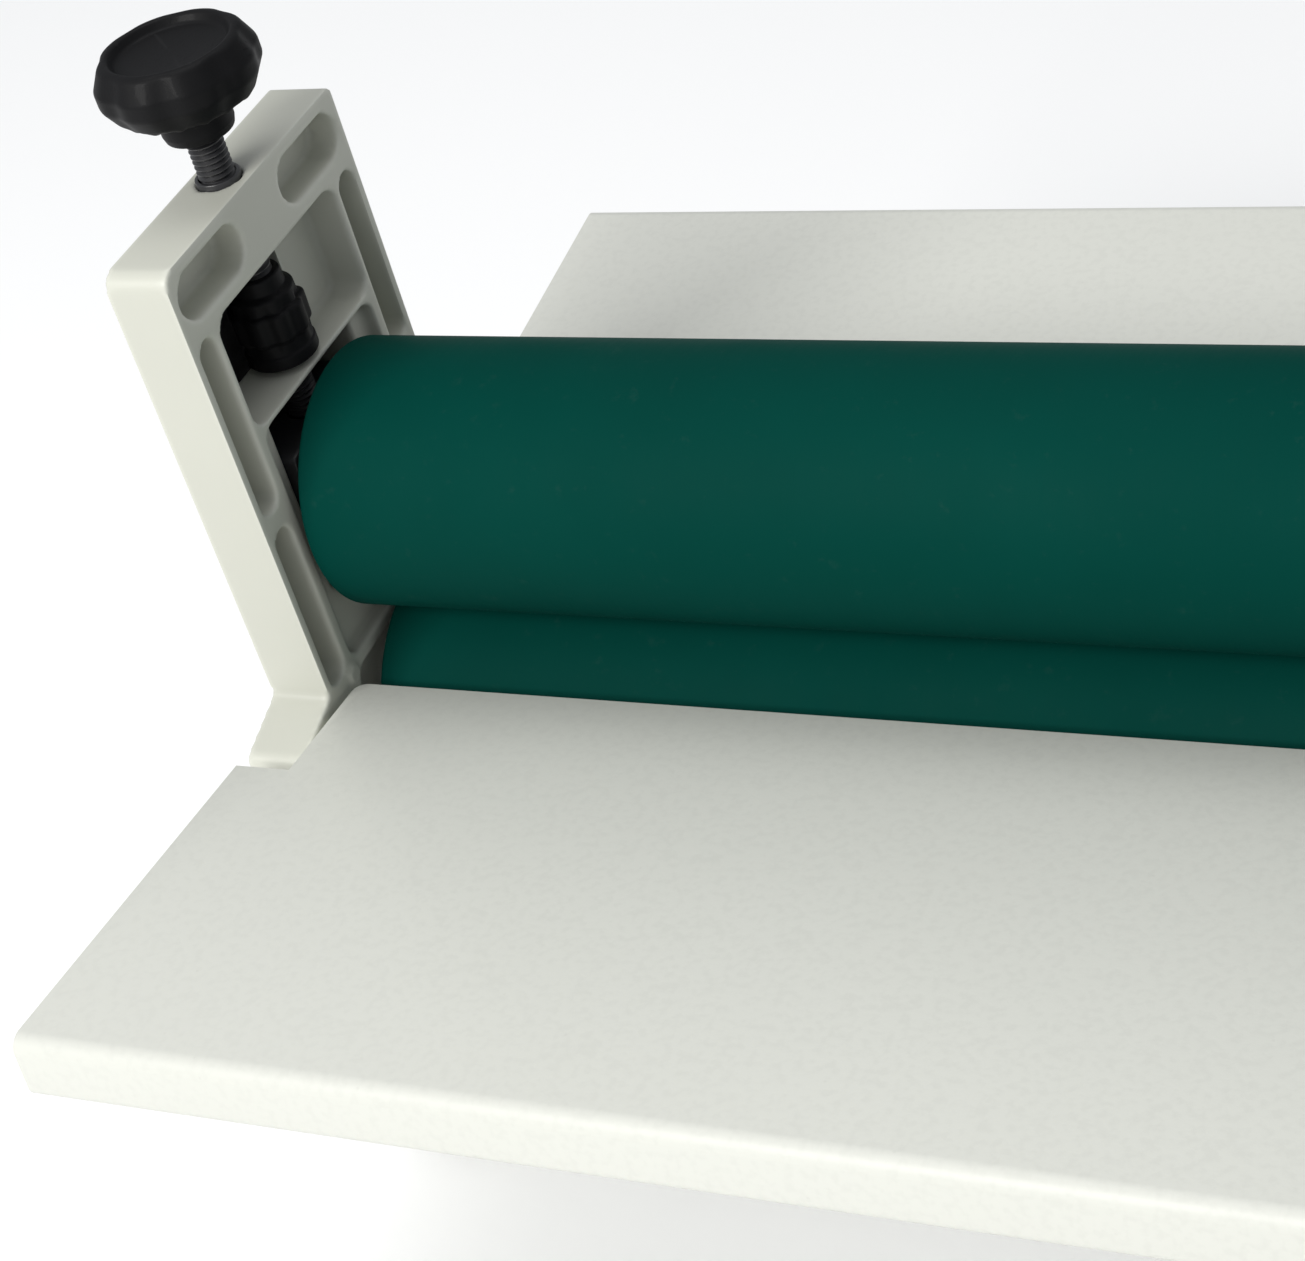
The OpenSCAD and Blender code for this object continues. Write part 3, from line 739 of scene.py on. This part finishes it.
class LAMINATOR_OT_knobs(bpy.types.Operator):
    """Hand knobs: ribbed hub, lobed head and dished top"""

    bl_idname = "laminator.knobs"
    bl_label = "Hand Knobs"

    def execute(self, context):
        count = shape().knob_lobes
        bore, bore_depth, hub = 4.0, 6.0, 7.9
        lobe_start, lobe_ramp, lobe_depth = 13.2, 3.2, 0.052
        rib_inner, rib_outer, rib_low, rib_high, rib_depth = 8.2, 16.0, 7.0, 11.5, 0.55
        for side in SIDES:
            node = f"knob_{side}"
            low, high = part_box(node)
            radius = (high.x - low.x) / 2 / MM
            top = (high.z - low.z) / MM
            outline = rounded([
                (bore, bore_depth, 0), (bore, 0.0, 0.3), (7.4, 0.0, 0.7), (hub, 1.8, 0.9),
                (hub, 7.1, 0.7), (radius - 2.8, 7.6, 3.4), (radius, 12.2, 2.5),
                (radius, top - 5.2, 2.5), (15.2, top - 0.5, 2.2), (13.2, top - 0.1, 1.1),
                (11.9, top - 2.2, 1.4), (6.0, top - 2.6, 2.0), (0.0, top - 2.8, 0),
            ], steps=7)
            bm = lathed([(0.0, bore_depth), *outline], turns=240)
            for vert in bm.verts:
                reach, angle = polar(vert.co)
                ramp = min(1.0, max(0.0, (reach - lobe_start) / lobe_ramp))
                press_in(vert.co, lobe_depth * ramp * (1.0 - lobes(angle, count)) ** 2)
                if rib_low < vert.co.z < rib_high and rib_inner < reach < rib_outer:
                    fade = math.sin(math.pi * (reach - rib_inner) / (rib_outer - rib_inner))
                    vert.co.z -= rib_depth * fade * lobes(angle, count * 2) ** 3
            bmesh.ops.recalc_face_normals(bm, faces=bm.faces)
            finish_piece(bm, f"hand_knob_{side}", node, scale=MM, place=foot_of(node), sharp=50)
        return {"FINISHED"}


class LAMINATOR_OT_lock_nuts(bpy.types.Operator):
    """Lobed lock nuts on the spindles"""

    bl_idname = "laminator.lock_nuts"
    bl_label = "Lock Nuts"

    def execute(self, context):
        count = shape().nut_lobes
        bore = 4.05
        lobe_low, lobe_high, lobe_inner, lobe_depth = 5.6, 13.9, 7.2, 0.085
        for side in SIDES:
            node = f"lock_nut_{side}"
            outline = rounded([
                (bore, 0.0, 0), (8.1, 0.0, 0.5), (8.1, 2.9, 0.6), (7.7, 3.3, 0.3),
                (7.9, 6.0, 0.8), (8.7, 7.0, 0.8), (8.8, 13.2, 0.9), (7.5, 13.6, 0.3),
                (7.4, 16.7, 0.7), (5.8, 17.4, 0.4), (5.6, 20.9, 0.5), (bore, 21.0, 0),
            ], closed=True)
            bm = lathed(outline, turns=180, closed=True)
            for vert in bm.verts:
                reach, angle = polar(vert.co)
                if lobe_low < vert.co.z < lobe_high and reach > lobe_inner:
                    press_in(vert.co, lobe_depth * (1.0 - lobes(angle, count)) ** 1.5)
            finish_piece(bm, f"lobed_lock_nut_{side}", node, scale=MM, place=foot_of(node),
                         sharp=50)
        return {"FINISHED"}


class LAMINATOR_OT_spindles(bpy.types.Operator):
    """Threaded pressure spindles with their captive collars"""

    bl_idname = "laminator.spindles"
    bl_label = "Pressure Spindles"

    def execute(self, context):
        pitch = shape().thread_pitch / MM
        crest, root, core = 4.0, 3.35, 3.3
        collar_radius, collar_top, thread_start = 6.0, 2.4, 3.4
        tip, spare = 1.2, 1.5
        for side in SIDES:
            node = f"spindle_{side}"
            low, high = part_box(node)
            turns = int(((high.z - low.z) / MM - thread_start - spare) / pitch)
            end = thread_start + turns * pitch
            bm = threaded(crest, root, pitch, thread_start, turns)
            add_lathed(bm, rounded([
                (0, 0, 0), (collar_radius, 0.0, 0.4), (collar_radius, collar_top, 0.4),
                (core, collar_top, 0.2), (core, thread_start + pitch, 0),
                (0, thread_start + pitch, 0),
            ]))
            add_lathed(bm, rounded([
                (0, end - pitch, 0), (core, end - pitch, 0), (core, end + tip, 0.5),
                (0, end + tip, 0),
            ]))
            bmesh.ops.recalc_face_normals(bm, faces=bm.faces)
            finish_piece(bm, f"threaded_spindle_{side}", node, scale=MM, place=foot_of(node),
                         sharp=40)
        return {"FINISHED"}


class LAMINATOR_OT_covers(bpy.types.Operator):
    """Moulded dust covers outside the windows"""

    bl_idname = "laminator.covers"
    bl_label = "Dust Covers"

    def execute(self, context):
        for side in SIDES:
            edged_copy(f"outer_cover_{side}", 0.6, segments=3)
        return {"FINISHED"}


class LAMINATOR_OT_bearings(bpy.types.Operator):
    """Bearing blocks, bushes, journals, tubes and retaining rings"""

    bl_idname = "laminator.bearings"
    bl_label = "Bearings and Journals"

    def execute(self, context):
        for side in SIDES:
            node = f"bearing_block_{side}"
            skin = skinned(node, shape().block_grid, shape().block_rounds)
            finish_mesh(skin, f"{node}_rounded", node, sharp=60)
        widths = {"upper_bush": 0.2, "lower_bush": 0.2, "spindle_bush": 0.3,
                  "lower_journal": 0.35, "upper_journal": 0.35, "lower_clip": 0.15}
        for side in SIDES:
            for part, width in widths.items():
                edged_copy(f"{part}_{side}", width)
        for level in LEVELS:
            edged_copy(f"{level}_roller_tube", 0.3)
        return {"FINISHED"}


class LAMINATOR_OT_bars(bpy.types.Operator):
    """Tie bars and table rails between the castings"""

    bl_idname = "laminator.bars"
    bl_label = "Bars and Rails"

    def execute(self, context):
        for row in ROWS:
            for part in ("tie_bar", "table_rail"):
                edged_copy(f"{row}_{part}", 0.5)
        return {"FINISHED"}


class LAMINATOR_OT_fasteners(bpy.types.Operator):
    """Bolts, screws, studs and nuts"""

    bl_idname = "laminator.fasteners"
    bl_label = "Fasteners"

    def execute(self, context):
        for side in SIDES:
            edged_copy(f"frame_bolts_{side}", 0.35)
            edged_copy(f"cover_screws_{side}", 0.18)
        for row in ROWS:
            edged_copy(f"{row}_table_studs", 0.25)
            edged_copy(f"{row}_table_nuts", 0.25)
        edged_copy("foot_screws", 0.25)
        return {"FINISHED"}


class LAMINATOR_OT_crank(bpy.types.Operator):
    """Crank arm with its pin, washer, screw and grip axle"""

    bl_idname = "laminator.crank"
    bl_label = "Crank"

    def execute(self, context):
        edged_copy("crank_arm", 0.9, segments=3)
        widths = {"crank_pin": 0.3, "crank_washer": 0.25, "crank_screw": 0.35, "grip_axle": 0.3}
        for part, width in widths.items():
            edged_copy(part, width)
        return {"FINISHED"}


class LAMINATOR_OT_grip(bpy.types.Operator):
    """Turning grip of the crank and its domed end nut"""

    bl_idname = "laminator.grip"
    bl_label = "Crank Grip"

    def execute(self, context):
        low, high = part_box("grip_sleeve")
        long = (high.x - low.x) / MM
        radius = (high.y - low.y) / 2 / MM
        bore, neck, shoulder, swell = 5.05, radius - 3.4, 2.2, 0.9
        waist = [
            (radius - 1.0 - swell * math.cos(2 * math.pi * share) * (1 - share), long * share, 0)
            for share in [0.08 + 0.06 * step for step in range(14)]
        ]
        outline = rounded([
            (bore, 0, 0), (neck, 0, 0.8), (radius - 2.2, shoulder, 1.2), *waist,
            (radius - swell, long * 0.94, 3.0), (neck, long - 0.2, 1.6), (bore, long, 0),
        ], closed=True)
        bm = lathed(outline, closed=True)
        along_x(bm)
        finish_piece(bm, "crank_grip_sleeve", "grip_sleeve", scale=MM,
                     place=start_of("grip_sleeve"), sharp=50)

        low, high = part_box("grip_nut")
        tall = (high.x - low.x) / MM
        bore, flange, roof = 3.0, 8.0, tall - 1.5
        outline = rounded([
            (bore, 0, 0), (flange, 0, 0.5), (flange, 2.4, 0.8), (6.2, tall - 0.9, 2.2),
            (0, tall, 0),
        ])
        bm = lathed([*outline, (0, roof), (bore, roof), (bore, 0)], turns=72)
        along_x(bm)
        finish_piece(bm, "grip_end_nut", "grip_nut", scale=MM, place=start_of("grip_nut"),
                     sharp=50)
        return {"FINISHED"}


class LAMINATOR_OT_feet(bpy.types.Operator):
    """Rubber feet with a ribbed side"""

    bl_idname = "laminator.feet"
    bl_label = "Feet"

    def execute(self, context):
        for row in ROWS:
            for side in SIDES:
                node = f"foot_{row}_{side}"
                low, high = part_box(node)
                radius = (high.x - low.x) / 2 / MM
                tall = (high.z - low.z) / MM
                bore, seat, well = 2.6, 5.0, 5.0
                outline = rounded([
                    (well, seat, 0.3), (well, 0.0, 0.4), (radius - 1.5, 0.0, 0.8),
                    (radius - 1.1, 2.6, 0.3), (radius - 1.5, 3.0, 0.3), (radius - 1.0, 3.4, 0.3),
                    (radius - 0.5, 6.2, 0.3), (radius - 0.9, 6.6, 0.3), (radius - 0.4, 7.0, 0.3),
                    (radius, tall, 0.6), (bore, tall, 0), (bore, seat, 0),
                ], closed=True, steps=3)
                bm = lathed(outline, turns=72, closed=True)
                middle = middle_of(node)
                finish_piece(bm, f"rubber_foot_{row}_{side}", node, scale=MM,
                             place=(middle.x, middle.y, low.z), sharp=50)
        return {"FINISHED"}


# ---------------------------------------------------------------- studio


FLOOR_REACH = 12.0
SKY = (0.93, 0.96, 1.0, 1.0)
SKY_STRENGTH = 0.42
SENSOR_WIDTH = 36.0
NEAR_LIMIT = 0.02
# Name, place, target, size, power in watts and colour of each lamp.
LAMPS = (
    ("key", (-0.9, -1.65, 1.45), (-0.2, 0, 0.15), (1.1, 0.8), 41, (1.0, 0.99, 0.965)),
    ("top", (-0.5, 0.5, 3.4), (-0.2, 0.2, 0.0), (2.4, 2.0), 35, (1.0, 1.0, 1.0)),
)


def area_light(name, place, target, size, power, colour):
    """A soft rectangular lamp that faces a target."""
    light = bpy.data.lights.new(name, "AREA")
    light.shape = "RECTANGLE"
    light.size, light.size_y = size
    light.energy = power
    light.color = colour
    lamp = bpy.data.objects.new(name, light)
    lamp.location = place
    lamp.rotation_euler = (Vector(target) - Vector(place)).to_track_quat("-Z", "Y").to_euler()
    bpy.context.scene.collection.objects.link(lamp)


class LAMINATOR_OT_stage(bpy.types.Operator):
    """Pale floor, soft lights and camera"""

    bl_idname = "laminator.stage"
    bl_label = "Stage"

    def execute(self, context):
        scene = context.scene
        bm = bmesh.new()
        bmesh.ops.create_grid(bm, x_segments=1, y_segments=1, size=FLOOR_REACH)
        mesh = bpy.data.meshes.new("floor")
        bm.to_mesh(mesh)
        bm.free()
        floor = bpy.data.objects.new("floor", mesh)
        scene.collection.objects.link(floor)
        paper = Finish("floor_paper", colours().floor, 0.8)
        tone = paper.mix(paper.noise(3.0), paper.tint(0.995), paper.tint(1.005))
        paper.feed({"Base Color": tone})
        mesh.materials.append(paper.material)

        world = bpy.data.worlds.new("studio")
        world.use_nodes = True
        sky = world.node_tree.nodes["Background"]
        sky.inputs["Color"].default_value = SKY
        sky.inputs["Strength"].default_value = SKY_STRENGTH
        scene.world = world
        for lamp in LAMPS:
            area_light(*lamp)
        scene.view_settings.view_transform = "Standard"

        view = scene.laminator_view
        camera = bpy.data.cameras.new("camera")
        camera.sensor_width = SENSOR_WIDTH
        camera.lens = view.lens
        camera.shift_x = -view.shift
        camera.shift_y = -view.shift
        camera.clip_start = NEAR_LIMIT
        eye = bpy.data.objects.new("camera", camera)
        turn = Matrix.Rotation(view.turn, 4, "Z")
        tilt = Matrix.Rotation(math.pi / 2 - view.tilt, 4, "X")
        roll = Matrix.Rotation(-view.roll, 4, "Z")
        eye.matrix_world = Matrix.Translation(view.place) @ turn @ tilt @ roll
        scene.collection.objects.link(eye)
        scene.camera = eye
        return {"FINISHED"}


class LAMINATOR_PT_panel(bpy.types.Panel):
    """Lists the settings and the pieces"""

    bl_idname = "LAMINATOR_PT_panel"
    bl_label = "Cold Roll Laminator"
    bl_space_type = "VIEW_3D"
    bl_region_type = "UI"
    bl_category = "Laminator"

    def draw(self, context):
        layout = self.layout
        for group in (context.scene.laminator_shape, context.scene.laminator_colours,
                      context.scene.laminator_view):
            box = layout.box()
            for name in group.__annotations__:
                box.prop(group, name)
        for operator in OPERATORS:
            layout.operator(operator.bl_idname)


OPERATORS = (
    LAMINATOR_OT_stage,
    LAMINATOR_OT_castings,
    LAMINATOR_OT_tables,
    LAMINATOR_OT_rollers,
    LAMINATOR_OT_knobs,
    LAMINATOR_OT_lock_nuts,
    LAMINATOR_OT_spindles,
    LAMINATOR_OT_covers,
    LAMINATOR_OT_bearings,
    LAMINATOR_OT_bars,
    LAMINATOR_OT_fasteners,
    LAMINATOR_OT_feet,
    LAMINATOR_OT_crank,
    LAMINATOR_OT_grip,
)
CLASSES = (LaminatorShape, LaminatorColours, LaminatorView, *OPERATORS, LAMINATOR_PT_panel)


def register():
    for item in CLASSES:
        bpy.utils.register_class(item)
    bpy.types.Scene.laminator_shape = PointerProperty(type=LaminatorShape)
    bpy.types.Scene.laminator_colours = PointerProperty(type=LaminatorColours)
    bpy.types.Scene.laminator_view = PointerProperty(type=LaminatorView)


def unregister():
    del bpy.types.Scene.laminator_view
    del bpy.types.Scene.laminator_colours
    del bpy.types.Scene.laminator_shape
    for item in reversed(CLASSES):
        bpy.utils.unregister_class(item)


def main():
    """Builds every piece in order."""
    register()
    for operator in OPERATORS:
        name = operator.bl_idname.removeprefix("laminator.")
        getattr(bpy.ops.laminator, name)()


if __name__ == "__main__":
    main()
